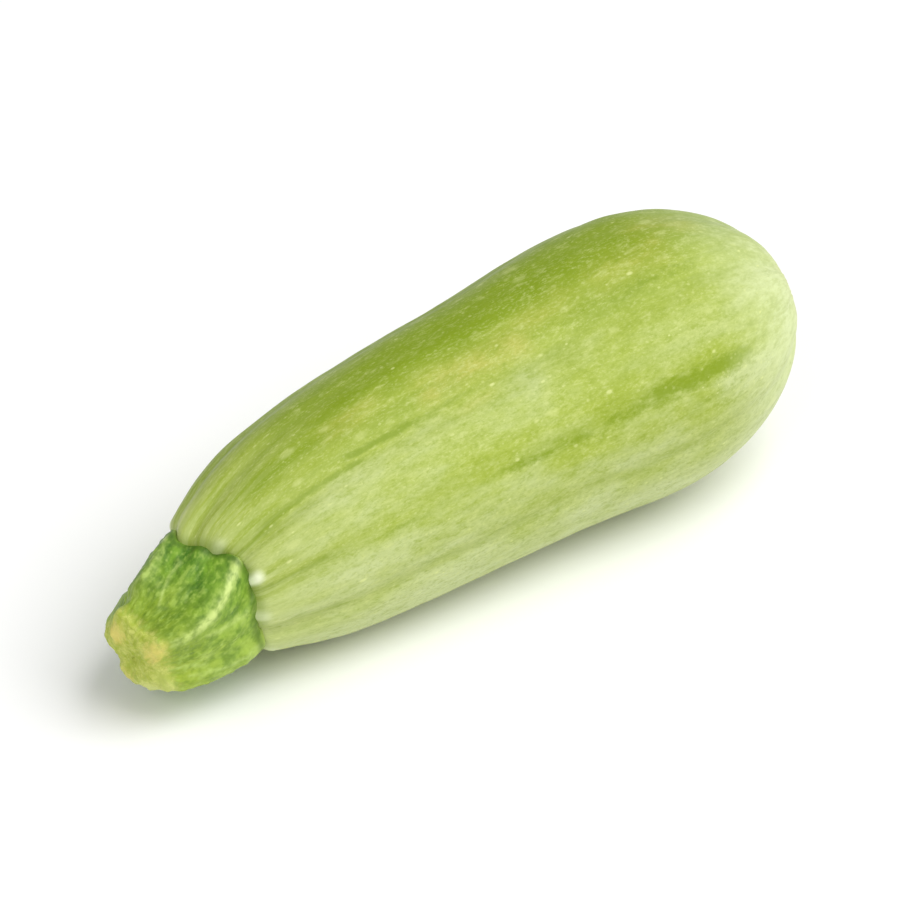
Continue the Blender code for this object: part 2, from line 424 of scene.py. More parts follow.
def linesOf(tree, place, piece):
    lines = {}
    for name, (length, width, softness) in piece["lines"].items():
        given = {"Place": place, "Length": length, "Width": width, "Softness": softness}
        lines[name] = useGroup(tree, linesGroup, **given)["Mask"]
    return lines


def flecksOf(tree, place, piece):
    flecks = {}
    for name, (stretch, shift, spacing, size, cover, strength) in piece["flecks"].items():
        spread = stretched(tree, place, stretch, 1.0, shift)
        given = {"Place": spread, "Spacing": spacing, "Size": size, "Cover": cover}
        flecks[name] = times(tree, useGroup(tree, flecksGroup, **given)["Mask"], strength)
    return flecks


# Fruit: the ribbed skin from under the stalk to the blossom scar

fruit = {
    "steps": 288,  # points round the fruit
    "shoulderRings": 36,
    "ringCrowding": 1.8,  # the shoulder's rings crowd towards the stalk
    "barrelRings": 134,
    "capRings": 70,
    "scarRings": 30,
    "length": 119.8,
    "shoulderEnd": 9.0,
    "bellyAt": 86.0,
    "bellyRadius": 24.9,
    # Hidden end under the stalk, then the outline from there on: x, radius
    "underStalk": ((1.4, 0.0), (1.25, 3.0), (0.84, 6.0), (0.4, 8.6)),
    "shoulderToBelly": (
        (0.0, 10.6), (0.7, 12.9), (2.2, 14.4), (4.8, 15.7), (9.0, 17.5), (16.0, 19.4), (35.0, 21.6),
        (62.0, 23.1), (86.0, 24.9),
    ),
    "furrows": 10,
    "firstFurrow": 9.5,
    "furrowWander": 3.0,  # they are not spaced evenly
    "wanderStep": 2.3,  # radians from one furrow to the next
    "furrowHalfAngle": 6.5,
    "shoulderDepth": (0.9, 1.5),  # weak and strong furrows take turns
    "bodyDepth": (0.18, 0.42),
    "blossomDepth": (0.45, 0.6),
    "furrowTint": (0.6, 1.0),
    "shoulderFade": 13.0,
    "blossomFade": 15.0,
    "calmStart": (48.0, 16.0, 0.6),  # here the furrows start weaker: angle, half-width, share
    # The shoulder's lobes reach over the foot of the stalk, three of them farther
    "shoulderReach": 1.9,
    "reachChange": 1.4,
    "reachFade": 7.0,
    "farthestLobe": 72.0,
    "lobeTip": (69.0, 9.0, 1.2),  # the longest lobe: angle, half-width, how much longer
    "fiveSided": 0.4,
    "oval": 0.35,
    "underside": 270.0,
    "undersideSpread": 38.0,
    "undersideSmoothing": 0.85,
    # Fine relief of the skin
    "lumps": 0.16,
    "lumpNoise": (13.0, 5.0, 0.45, 40),  # large and small size, share and shift of the small one
    "shoulderSmoothing": 0.6,  # share of the lumps that is missing beside the stalk
    "pleatGrain": (0.06, 0.75),
    "pleatFade": 9.0,
    "shoulderPleats": 0.035,
    "bodyPleats": 0.02,
    "blossomPleats": 0.14,
    "blossomPleatRing": (6.0, 7.0),  # radius, half-width
    # Blossom scar: section by distance from the middle and height, then radii of its colours
    "scarRadius": 4.6,
    "scarRing": 1.0,
    "scarCalm": 9.0,  # the furrows fade out over this width round it
    "scarSection": ((-5.1, -0.42), (-4.6, -0.1), (-4.15, 0.42), (-2.3, 0.78), (0.0, 0.6)),
    "scarStar": (5, 0.045, 0.6),  # corners, share of the radius, turn in radians
    "scarBumps": 0.12,
    "scarBumpGrain": (1.25, 2.5, 4.375),  # crowding outwards and round it, shift
    "scarRelief": (3.8, 5.4),
    "scarFace": (4.4, 5.0),
    "scarRim": (4.85, 0.5),
    "scarHalo": (4.5, 4.5),
    # Pale swollen tips of the shoulder beside the stalk: angle, from the foot, height, paleness; the
    # paleness is partly their own colour and partly a painted highlight
    "pearls": (
        (140.5, 0.6, 0.66, 1.0), (170.5, 0.2, 0.34, 0.42), (103.0, 0.4, 0.3, 0.28),
        (213.0, 1.2, 0.26, 0.4), (318.0, 0.8, 0.4, 0.7), (31.0, 1.2, 0.3, 0.5),
    ),
    "pearlAngle": 4.6,
    "pearlLength": 0.95,
    "pearlEdge": (1.5, 0.15),  # how fast the paleness rises, and from where
    # Painted shade in the crease beside the stalk, fading out between these distances from the foot
    "creaseShade": (0.1, 1.2),
    # Dark green strokes along the furrows: from, to, angle, half-width in degrees, strength
    "strokes": (
        (-2, 9, 118.5, 2.2, 0.95), (4, 26, 117.0, 1.9, 0.95), (22, 38, 115.0, 2.1, 1.0),
        (36, 46, 115.5, 1.8, 0.5), (54, 62, 117.5, 1.6, 0.3), (-2, 6, 124.5, 1.6, 0.5),
        (2, 14, 104.0, 1.8, 0.25), (0, 16, 96.0, 2.2, 0.2), (2, 26, 88.0, 3.4, 0.3),
        (20, 58, 86.5, 4.2, 0.7), (40, 66, 79.0, 5.5, 0.6), (28, 48, 70.0, 4.0, 0.5),
        (8, 24, 68.0, 4.0, 0.3), (-2, 13, 150.5, 2.4, 0.75), (0, 8, 141.0, 1.6, 0.35),
        (20, 30, 155.0, 2.0, 0.55), (46, 64, 156.0, 3.2, 0.68), (60, 70, 160.0, 2.6, 0.45),
        (66, 77, 155.0, 3.2, 0.68), (76, 99, 156.0, 4.8, 0.92), (84, 95, 164.5, 2.4, 0.4),
        (78, 98, 111.5, 3.4, 0.5), (62, 80, 109.0, 1.8, 0.35), (72, 90, 95.0, 3.4, 0.35),
        (7, 14, 186.0, 4.0, 0.55), (-2, 7, 178.0, 2.0, 0.4), (26, 31, 183.0, 3.0, 0.4),
        (46, 58, 187.0, 2.0, 0.3), (-2, 16, 229.0, 3.0, 0.5), (30, 52, 230.0, 2.4, 0.4),
        (-2, 24, 266.0, 2.6, 0.4), (-2, 36, 300.0, 3.0, 0.7), (55, 92, 302.0, 3.2, 0.65),
        (-2, 28, 336.0, 2.8, 0.85), (36, 70, 338.0, 2.6, 0.6), (80, 102, 334.0, 3.4, 0.6),
        (-2, 46, 12.0, 3.2, 0.75), (60, 96, 14.0, 4.0, 0.65), (12, 34, 48.0, 3.6, 0.6),
        (40, 92, 46.0, 4.6, 0.7),
    ),
    # Yellowish patches, in the same way
    "warmPatches": (
        (40, 62, 107.0, 8.0, 0.9), (22, 34, 97.0, 5.0, 0.6), (78, 94, 99.0, 7.0, 0.8),
        (90, 104, 86.0, 8.0, 0.6), (60, 74, 100.0, 6.0, 0.4), (44, 52, 122.0, 3.0, 0.35),
        (28, 60, 20.0, 9.0, 0.5), (60, 84, 345.0, 8.0, 0.5),
    ),
    # Broad greener patches, in the same way
    "greenPatches": (
        (60, 98, 130.0, 14.0, 0.22), (56, 90, 166.0, 6.0, 0.2), (8, 28, 98.0, 6.0, 0.25),
        (2, 10, 116.0, 5.0, 0.2),
    ),
    "patchSoftness": 3.0,  # half the length over which a patch or stroke starts and ends
    "patchWander": (1.2, 7.0),  # degrees to each side, and how slowly
    # How green and dark each side is, from 0 to 1, by angle: greener where the skin had sun, and darker
    # on the upper side as painted shade
    "greenAndShadeBySide": (
        (0, 0.7), (40, 0.95), (75, 0.95), (90, 0.86), (100, 0.62), (112, 0.55), (122, 0.3), (140, 0.3),
        (152, 0.44), (165, 0.22), (186, 0.26), (200, 0.12), (230, 0.02), (275, 0.05), (320, 0.4),
        (360, 0.7),
    ),
    # The shoulder is paler on top, with less of that green and painted shade: angle, half-width in
    # degrees, length, share taken off
    "paleTop": (68.0, 30.0, 15.0, 0.55),
    "palePleats": 10.0,  # the pale pleats round the stalk fade over this length
    "creamyLitEnd": (90.0, 116.0),  # the skin turns creamy from here to here, partly its own colour and partly painted light
    "creamyLitSide": (155.0, 60.0),  # most of all on the lit side, where it is painted light: angle, half-width
    "skinRadius": 24.0,  # of the cylinder on which the skin's patterns lie
    # Patterns of the skin: size along and round the fruit, shift, detail, roughness
    "grains": {
        "patches": (18.0, 7.0, 0.0, 3.0, 0.6),
        "warmth": (9.0, 4.0, 31.0, 3.0, 0.6),
        "coarse": (3.0, 1.5, 12.0, 4.0, 0.7),
        "fine": (0.85, 0.42, 4.0, 3.0, 0.7),
        "breaks": (2.0, 1.1, 0.0, 4.0, 0.75),
        "crowd": (9.0, 5.0, 3.0, 2.0, 0.5),
        "halo": (6.0, 1.4, 5.0, 3.0, 0.6),
        "shine": (7.0, 4.0, 50.0, 3.0, 0.6),
    },
    # Length, width, softness
    "lines": {
        "fine": (12.0, 1.1, 0.14),
        "wide": (26.0, 3.2, 0.12),
        "pleats": (18.0, 1.5, 0.12),
    },
    # Stretch lengthwise, shift, spacing, size, cover, strength
    "flecks": {
        "fine": (1.4, 0.0, 0.95, 0.34, 0.7, 0.26),
        "middle": (1.5, 9.0, 1.9, 0.21, 0.5, 0.55),
        "large": (1.8, 23.0, 4.4, 0.12, 0.4, 0.6),
        "blotches": (1.6, 51.0, 5.5, 0.26, 0.45, 0.26),
    },
    "corkSize": 1.1,
    "bump": (0.12, 0.7),  # distance, strength
    "ior": 1.34,
    "colours": {
        "pale": (196, 206, 149),
        "green": (163, 179, 70),
        "greenAndShaded": (124, 148, 16),
        "warm": (186, 184, 88),
        "coarseDark": (138, 158, 32),
        "coarseLight": (200, 209, 130),
        "fineDark": (130, 150, 28),
        "fineLight": (206, 214, 138),
        "fineLine": (130, 150, 34),
        "furrow": (126, 148, 32),
        "stroke": (122, 145, 6),
        "pleat": (194, 206, 134),
        "creamyAndLit": (216, 227, 172),
        "fleck": (219, 226, 150),
        # pale tips, partly a painted highlight
        "paleTipAndHighlight": (238, 245, 206),
        "halo": (184, 178, 82),
        "corkDark": (142, 108, 52),
        "corkLight": (206, 172, 104),
        "scarRim": (112, 88, 40),
        # painted shade in the crease beside the stalk
        "creaseShade": (118, 144, 48),
    },
}


def fruitOutline():
    f = fruit
    outline = list(f["underStalk"])
    shoulder = f["shoulderEnd"] * np.linspace(0, 1, f["shoulderRings"]) ** f["ringCrowding"]
    barrel = np.linspace(f["shoulderEnd"], f["bellyAt"], f["barrelRings"])[1:]
    for x in np.concatenate([shoulder, barrel]):
        outline.append((x, float(curveThrough(f["shoulderToBelly"], x))))
    cap = f["length"] - f["bellyAt"]
    edge = f["scarRadius"] + f["scarRing"]
    for turn in np.linspace(0, pi / 2 - edge / f["bellyRadius"], f["capRings"])[1:]:
        outline.append((f["bellyAt"] + cap * sin(turn), f["bellyRadius"] * cos(turn)))
    brim, brimRadius = outline[-1]
    scar = ((-brimRadius, 0.0), *f["scarSection"])
    for radius in np.linspace(brimRadius, 0, f["scarRings"])[1:]:
        outline.append((brim + float(curveThrough(scar, -radius)), radius))
    return outline


def roundedSide(angle):  # less of the furrows and corners is left on the underside
    f = fruit
    return 1 - f["undersideSmoothing"] * sideBell(angle, f["underside"], f["undersideSpread"])


def furrowsAt(x, angle):  # how deep the furrows are, and how near a point is to one
    f = fruit
    calmAt, calmWidth, calmShare = f["calmStart"]
    calm = calmShare * sideBell(angle, calmAt, calmWidth)
    shoulder = fadeFromFoot(x, f["shoulderFade"]) * (1 - calm)
    blossom = bell(x, f["length"], f["blossomFade"])
    rounded = roundedSide(angle)
    depth, near = np.zeros_like(x), np.zeros_like(x)
    for k in range(f["furrows"]):
        centre = f["firstFurrow"] + k * 360 / f["furrows"] + f["furrowWander"] * sin(f["wanderStep"] * k)
        share = sideBell(angle, centre, f["furrowHalfAngle"])
        strong = k % 2
        ends = f["shoulderDepth"][strong] * shoulder + f["blossomDepth"][strong] * blossom
        depth += (f["bodyDepth"][strong] * rounded + ends) * share
        near += share * f["furrowTint"][strong]
    return depth, near


def fruitSwell(x, angle):
    f = fruit
    barrel = np.sin(pi * np.clip(x / f["length"], 0, 1))
    five = f["fiveSided"] * np.cos(5 * np.radians(angle - f["firstFurrow"]))
    return (five * roundedSide(angle) + f["oval"] * np.cos(2 * np.radians(angle))) * barrel


def shoulderReach(x, angle):  # how far towards the stalk the skin is drawn over its foot
    f = fruit
    reach = f["shoulderReach"] + f["reachChange"] * np.cos(3 * np.radians(angle - f["farthestLobe"]))
    tipAt, tipWidth, longer = f["lobeTip"]
    reach += longer * sideBell(angle, tipAt, tipWidth)
    return reach * fadeFromFoot(x, f["reachFade"])


def pearlAt(x, angle, at, centre):
    return sideBell(angle, centre, fruit["pearlAngle"]) * bell(x, at, fruit["pearlLength"])


def fruitRelief(r, place, onCap):  # fine height above the smooth skin
    f = fruit
    inShoulder = fadeFromFoot(r["x"], f["pleatFade"])
    nearScar = bell(r["radius"], *f["blossomPleatRing"]) * onCap
    onScar = (1 - fade(r["radius"], *f["scarRelief"])) * onCap
    pleats = f["shoulderPleats"] * inShoulder + f["bodyPleats"]
    pleats += f["blossomPleats"] * nearScar * (1 - onScar)
    relief = f["lumps"] * doubleNoise(place, *f["lumpNoise"]) * (1 - f["shoulderSmoothing"] * inShoulder)
    relief += fibreNoise(place, *f["pleatGrain"]) * pleats
    for centre, at, height, _ in f["pearls"]:
        relief += height * pearlAt(r["x"], r["angle"], at, centre)
    bumps = f["scarBumps"] * fibreNoise(place, *f["scarBumpGrain"])
    return relief * (1 - onScar) + bumps * onScar


def patchesAt(table, x, angle):
    soft = fruit["patchSoftness"]
    wander, slowness = fruit["patchWander"]
    total = np.zeros_like(x)
    for start, end, centre, halfWidth, strength in table:
        lengthwise = fade(x, start - soft, start + soft) * (1 - fade(x, end - soft, end + soft))
        across = sideBell(angle, centre + wander * np.sin(x / slowness + centre), halfWidth)
        total = np.maximum(total, strength * lengthwise * across)
    return total


def makeFruitSkin():
    material, tree, shader = newMaterial("fruitSkin")
    place = placeOf(tree, "skinPlace")
    paint = coloursOf(fruit)
    grain = grainsOf(tree, place, fruit)
    lines = linesOf(tree, place, fruit)
    dots = flecksOf(tree, place, fruit)

    coarse, fine, lengthwise = grain["coarse"], grain["fine"], lines["fine"]

    # Cream flecks, the smaller ones in crowds
    flecks = calc(tree, "MAXIMUM", dots["fine"], dots["middle"])
    flecks = times(tree, flecks, ease(tree, grain["crowd"], 0.35, 0.65, 0.4, 1.0))
    for size in ("large", "blotches"):
        flecks = calc(tree, "MAXIMUM", flecks, dots[size])

    # Tone by side: the skin's own greener tone, with painted shade on the upper side
    greenAndShade = ease(tree, grain["patches"], 0.3, 0.7, -0.12, 0.12)
    greenAndShade = calc(tree, "ADD", maskOf(tree, "greenAndShadeSide"), greenAndShade, clamp=True)
    nearFurrow = ease(tree, maskOf(tree, "nearFurrow"), 0.1, 0.9, 0.04, 0.3)
    strokes = ease(tree, grain["breaks"], 0.3, 0.7, -0.32, 0.26)
    strokes = calc(tree, "ADD", maskOf(tree, "strokes"), strokes)
    colour = tint(tree, ease(tree, greenAndShade, 0.0, 0.5), paint["pale"], paint["green"])
    layers = (
        # Broad colour: greener and darker on the upper side, partly the skin's own tone and partly
        # painted shade; paler below and towards the blossom
        (ease(tree, greenAndShade, 0.42, 1.0), "greenAndShaded"),
        (unevenMask(tree, "warm", grain["warmth"], 0.35, 0.6, 0.3, 0.9), "warm"),
        # Fine mottling, only a little longer than wide
        (ease(tree, coarse, 0.5, 0.7, 0.0, 0.5), "coarseDark"),
        (ease(tree, coarse, 0.5, 0.3, 0.0, 0.4), "coarseLight"),
        (ease(tree, fine, 0.5, 0.72, 0.0, 0.45), "fineDark"),
        (ease(tree, fine, 0.5, 0.28, 0.0, 0.4), "fineLight"),
        # Lengthwise lines, then the dark strokes in the furrows
        (times(tree, lengthwise, 0.14), "fineLine"),
        (times(tree, lines["wide"], nearFurrow), "furrow"),
        (ease(tree, strokes, 0.05, 0.95, 0.0, 0.8), "stroke"),
        # Pale pleats round the stalk, a creamy cap round the blossom scar that is partly painted light,
        # flecks, swollen tips whose paleness is partly a painted highlight
        (unevenMask(tree, "shoulder", lines["pleats"], 0.0, 1.0, 0.55, 0.15), "pleat"),
        (unevenMask(tree, "blossom", coarse, 0.3, 0.65, 0.9, 0.55), "creamyAndLit"),
        (flecks, "fleck"),
        (maskOf(tree, "paleTipAndHighlight"), "paleTipAndHighlight"),
        (unevenMask(tree, "scarHalo", grain["halo"], 0.3, 0.7, 0.3, 0.9), "halo"),
    )
    colour = paintOver(tree, colour, paint, layers)

    # Scar: corky tan button with a brown rim; then painted shade in the crease beside the stalk
    cork = useGroup(tree, corkGroup, Place=objectPlace(tree), Size=fruit["corkSize"])
    scar = maskOf(tree, "scar")
    colour = tint(tree, scar, colour, tint(tree, cork["Shade"], paint["corkDark"], paint["corkLight"]))
    layers = (
        (times(tree, maskOf(tree, "scarRim"), 0.8), "scarRim"),
        (times(tree, maskOf(tree, "creaseShade"), 0.35), "creaseShade"),
    )
    feed(tree, shader.inputs["Base Color"], paintOver(tree, colour, paint, layers))

    roughness = ease(tree, grain["shine"], 0.25, 0.75, 0.43, 0.57)
    roughness = calc(tree, "ADD", roughness, times(tree, scar, 0.35))
    feed(tree, shader.inputs["Roughness"], roughness)
    shader.inputs["IOR"].default_value = fruit["ior"]

    pores = noiseAt(tree, vectorCalc(tree, "SCALE", objectPlace(tree), 1.6), detail=3.0, roughness=0.6)
    height = calc(tree, "ADD", times(tree, pores, 0.5), times(tree, flecks, 0.25))
    height = calc(tree, "ADD", height, times(tree, lengthwise, 0.15))
    corkHeight = times(tree, cork["Height"], scar)
    height = calc(tree, "ADD", height, times(tree, corkHeight, 2.0))
    addBump(tree, shader, height, *fruit["bump"])
    return material


def paintFruit(mesh, r, near, onCap):  # the masks that the skin's material reads
    f = fruit
    x, angle, radius = r["x"], r["angle"], r["radius"]
    topAt, topWidth, topLength, topShare = f["paleTop"]
    paleTop = topShare * sideBell(angle, topAt, topWidth) * fadeFromFoot(x, topLength)
    # Greener and darker by side, partly the skin's own tone and partly painted shade on the upper side
    greenAndShade = curveThrough(f["greenAndShadeBySide"], angle) * (1 - paleTop) + patchesAt(f["greenPatches"], x, angle)
    # Creamy towards the blossom, partly the skin's own colour and partly painted light on the lit side
    creamyAndLit = fade(x, *f["creamyLitEnd"]) * (0.5 + 0.5 * sideBell(angle, *f["creamyLitSide"]))
    rise, start = f["pearlEdge"]
    # Paleness of the swollen tips, partly their own colour and partly a painted highlight
    paleTipAndHighlight = np.zeros_like(x)
    for centre, at, _, paleness in f["pearls"]:
        spot = rise * pearlAt(x, angle, at, centre) - start
        paleTipAndHighlight = np.maximum(paleTipAndHighlight, paleness * np.clip(spot, 0, 1))
    writeMask(mesh, "greenAndShadeSide", greenAndShade)
    writeMask(mesh, "nearFurrow", np.clip(near, 0, 1))
    writeMask(mesh, "shoulder", fadeFromFoot(x, f["palePleats"]))
    writeMask(mesh, "blossom", creamyAndLit)
    writeMask(mesh, "strokes", patchesAt(f["strokes"], x, angle))
    writeMask(mesh, "warm", patchesAt(f["warmPatches"], x, angle))
    writeMask(mesh, "paleTipAndHighlight", paleTipAndHighlight * ~onCap)
    # Painted shade in the crease beside the stalk, not on the pale tips
    writeMask(mesh, "creaseShade", (1 - fade(x, *f["creaseShade"])) * (1 - paleTipAndHighlight) * ~onCap)
    writeMask(mesh, "scar", (1 - fade(radius, *f["scarFace"])) * onCap)
    writeMask(mesh, "scarRim", bell(radius, *f["scarRim"]) * onCap)
    writeMask(mesh, "scarHalo", bell(radius, *f["scarHalo"]) * onCap)


def buildFruit():
    f = fruit
    outline = fruitOutline()
    mesh = spunMesh("fruitSkin", outline, f["steps"])
    r = readRings(mesh, outline)
    x, angle = r["x"], r["angle"]
    onCap = x > f["bellyAt"]
    place = skinPlace(r, f["skinRadius"], np.radians(angle))
    depth, near = furrowsAt(x, angle)
    awayFromScar = np.clip((r["radius"] - f["scarRadius"]) / f["scarCalm"], 0, 1)
    corners, cornerShare, cornerTurn = f["scarStar"]
    inScar = onCap & (r["radius"] < f["scarRadius"] + f["scarRing"])
    star = np.where(inScar, cornerShare * np.cos(corners * np.radians(angle) + cornerTurn), 0)
    radius = r["radius"] * (1 + star) + awayFromScar * (fruitSwell(x, angle) - depth)
    relief = fruitRelief(r, place, onCap)
    shownX = x - shoulderReach(x, angle) + relief * r["outX"]
    radius = np.maximum(radius + relief * r["outRadius"], 0)
    points = alongMiddle(shownX, radius, angle)

    # Set down where the CAD fruit is, with the same flat spot underneath
    low, high = (np.array(corner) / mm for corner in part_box("fruit"))
    move = np.array(
        [
            high[0] - points[:, 0].max(),
            (low[1] + high[1] - points[:, 1].min() - points[:, 1].max()) / 2,
            high[2] - points[:, 2].max(),
        ]
    )
    points += move
    points[:, 2] = np.maximum(points[:, 2], 0)
    writePlace(mesh, "skinPlace", place)
    paintFruit(mesh, r, near, onCap)
    return finishPiece(mesh, points, "fruitSkin", makeFruitSkin()), move


fruitPiece, move = buildFruit()
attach(fruitPiece, "root")
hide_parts("fruit")
print("fruit skin:", len(fruitPiece.data.polygons), "faces")

# Stalk: five ribs with a small one in each valley; its cut end has healed to a low dome

stalk = {
    "steps": 260,
    "sideRings": 130,
    "cutRings": 44,
    "length": 20.7,
    "root": 2.6,
    "rootDisc": 6.0,
    "outline": (
        (-19.0, 9.2), (-15.5, 10.5), (-11.5, 11.8), (-6.5, 12.8), (-1.5, 12.9), (0.8, 12.3),
        (2.6, 11.6),
    ),
    # Cut end: share of the rim's radius, distance from the very end
    "cutDome": (
        (1.0, 1.7), (0.975, 1.25), (0.92, 0.8), (0.8, 0.36), (0.65, 0.12), (0.5, 0.0), (0.25, 0.1),
        (0.0, 0.2),
    ),
    "ribs": 5,
    "firstRib": 122.0,
    "twist": 17.0,  # the ribs turn this far between the foot and the cut
    "ribBow": 8.0,  # and bow this much farther halfway
    "ribSharpness": 1.6,
    "valleyDepth": (0.16, 0.24),  # share of the radius, at the foot and at the cut
    "smallRib": 0.05,
    "smallRibSharpness": 3,
    # A pale line runs along each rib, partly its own colour and partly a painted highlight, off its crest
    # by this much at the ends and halfway
    "lineOffset": (-2.5, 5.5),
    "lineBow": 1.3,  # above 1 the line bows farthest nearer the cut
    "lineHalfWidth": 4.4,
    "lineHeight": 0.14,
    "linePalenessAndHighlight": (0.85, 0.4),  # of the rib in front, of the others
    "frontRibWidth": 20.0,
    "lineFade": (0.4, 0.95, 0.7),  # from and to, as shares of the length, and how much
    # Fine relief; noise is given as crowding along and round, or as the values of doubleNoise
    "fibres": 0.06,
    "fibreGrain": ((0.14, 1.5), (0.2, 3.0, 9)),
    "smallFibres": 0.6,
    "warts": 0.24,
    "wartGrain": (0.6, 0.72, 17),
    "wartEdge": (0.15, 0.7),
    "lumps": 0.26,
    "lumpNoise": (3.6, 1.7, 0.6, 31),
    "corkBumps": 0.34,
    "corkNoise": (1.9, 0.8, 0.6, 5),
    "rimRounding": (-19.2, 1.1, 0.5),  # x, half-length, depth
    "reliefEnd": (0.5, 2.0),  # the relief fades out here, inside the fruit
    "tuckedIn": 0.9,  # the part under the shoulder is thinner by this much
    "tuckedFrom": (0.2, 1.4),
    # Hollow and swelling behind the cut: angle, x, half-width in degrees, half-length, height
    "swellings": ((60.0, -17.0, 24.0, 1.8, -1.3), (246.0, -18.8, 14.0, 2.4, 1.1)),
    # Dried lumps on the cut: angle, distance from its middle, half-width, height
    "corkLumps": (
        (42, 6.0, 2.4, 0.9), (200, 4.6, 2.4, 0.8), (300, 7.4, 2.4, 1.0), (262, 6.8, 2.0, 0.6),
        (100, 5.6, 1.6, 0.4),
    ),
    "lumpsFrom": -15.0,
    # Tan dried spots on the cut: angle, distance from its middle, half-width, strength
    "tanSpots": ((54, 5.4, 2.6, 1.0), (146, 7.2, 2.9, 0.85), (290, 6.4, 2.4, 0.6)),
    "tanFrom": (17.0, 19.5),  # distance from the foot
    # Fine pale streaks on the sides: paleness, half-width, points along it by x and angle
    "streaks": (
        (0.6, 0.34, ((-6.9, 85.8), (-9.6, 88.6), (-12.3, 94.2), (-14.6, 102.5))),
        (0.45, 0.7, ((-12.0, 144.0), (-14.6, 148.2), (-17.5, 144.0))),
        (0.55, 0.5, ((-3.8, 162.0), (-6.8, 160.6), (-9.3, 162.0), (-11.6, 157.8))),
        (0.5, 0.34, ((-4.1, 193.8), (-7.6, 200.8), (-11.0, 200.8), (-13.6, 199.4), (-16.2, 196.6))),
        (0.45, 0.5, ((-13.1, 192.5), (-15.8, 185.5), (-18.7, 180.0))),
        (0.5, 0.8, ((-12.3, 182.8), (-12.7, 182.8))),
        (0.5, 0.34, ((-5.0, 5.0), (-9.0, 9.0), (-14.0, 20.0))),
        (0.5, 0.4, ((-4.0, 232.0), (-9.0, 236.0), (-15.0, 243.0))),
        (0.5, 0.34, ((-6.0, 308.0), (-12.0, 315.0), (-16.0, 322.0))),
    ),
    "streakHeight": 0.1,
    "streakRadius": 11.5,  # turns the angles between those points into lengths
    # Darker patches: x, angle, half-length, half-width in degrees, strength
    "darkPatches": (
        (-13.6, 133.0, 1.3, 7.0, 0.55), (-17.2, 130.0, 1.0, 8.0, 0.4), (-15.5, 105.0, 1.4, 7.0, 0.5),
        (-9.0, 129.0, 2.0, 6.0, 0.5), (-10.0, 60.0, 2.4, 12.0, 0.4), (-8.0, 268.0, 2.6, 10.0, 0.3),
    ),
    # Paler patches, in the same way
    "palePatches": ((-12.2, 105.0, 3.4, 9.0, 0.65), (-7.0, 20.0, 3.0, 12.0, 0.4)),
    "paleSide": (195.0, 48.0),  # angle, half-width
    # Cut: where it starts, and how far a face leans towards the end to be part of it
    "cutFrom": -10.0,
    "cutLean": (0.3, 0.95),
    "yellowing": (0.3, 1.0),  # shares of the length
    "cutTint": (16.6, 20.3),  # distance from the foot
    "paleRim": (18.0, 20.0),
    "paleRimRadius": (4.5, 8.0),
    "paleRimSide": (245.0, 50.0),
    # Distances past the edge of the shoulder
    "shade": (-0.2, 0.8),
    "hidden": (0.3, 1.2),
    "skinRadius": 12.0,
    # Patterns, flecks and lines are given as for the fruit
    "grains": {
        "patches": (3.6, 2.4, 0.0, 2.0, 0.6),
        "mottle": (1.7, 1.3, 3.0, 2.0, 0.6),
        "fine": (0.7, 0.55, 14.0, 2.0, 0.6),
    },
    "lines": {"fibres": (6.0, 0.5, 0.12)},
    "flecks": {"small": (1.2, 0.0, 1.2, 0.36, 0.5, 0.22), "large": (1.2, 8.0, 2.8, 0.38, 0.6, 0.5)},
    "corkSize": 1.5,
    "bump": (0.12, 0.45),
    "ior": 1.38,
    "colours": {
        "deep": (66, 112, 14),
        "green": (112, 154, 34),
        "paleSide": (162, 188, 74),
        "yellowish": (152, 170, 40),
        "mottleShade": (186, 206, 130),
        "mottleLight": (176, 204, 92),
        "fineShade": (190, 210, 130),
        "fineLight": (184, 210, 104),
        "fibre": (158, 186, 76),
        "dark": (92, 126, 20),
        "streak": (196, 218, 122),
        # pale rib line, partly a painted highlight
        "ribLine": (212, 230, 140),
        "fleck": (184, 208, 104),
        "cutDark": (164, 178, 58),
        "cutLight": (208, 212, 112),
        "paleRim": (222, 226, 156),
        "tan": (222, 208, 112),
        "shade": (62, 94, 22),
        "hidden": (160, 182, 84),
    },
}


def stalkOutline():
    s = stalk
    rising = sorted(s["outline"])
    outline = [(s["root"], 0.0), (s["root"], s["rootDisc"])]
    for x in np.linspace(s["root"], rising[0][0], s["sideRings"]):
        outline.append((x, float(curveThrough(rising, x))))
    rim = outline[-1][1]
    share, belowEnd = np.array(s["cutDome"]).T
    cutX, cutRadius = belowEnd - s["length"], share * rim
    walked = np.concatenate([[0], np.cumsum(np.hypot(np.diff(cutX), np.diff(cutRadius)))])
    for t in np.linspace(0, walked[-1], s["cutRings"])[1:]:
        outline.append((float(np.interp(t, walked, cutX)), float(np.interp(t, walked, cutRadius))))
    return outline


def spotsAt(table, x, angle):
    total = np.zeros_like(x)
    for at, centre, halfLength, halfWidth, strength in table:
        spot = bell(x, at, halfLength) * sideBell(angle, centre, halfWidth)
        total = np.maximum(total, strength * spot)
    return total


def spotsOnCut(table, across):
    spots = []
    for centre, distance, halfWidth, strength in table:
        middle = distance * np.array([cos(radians(centre)), sin(radians(centre))])
        gap = np.linalg.norm(across[:, 1:] - middle, axis=1)
        spots.append(strength * bell(gap, 0, halfWidth))
    return spots


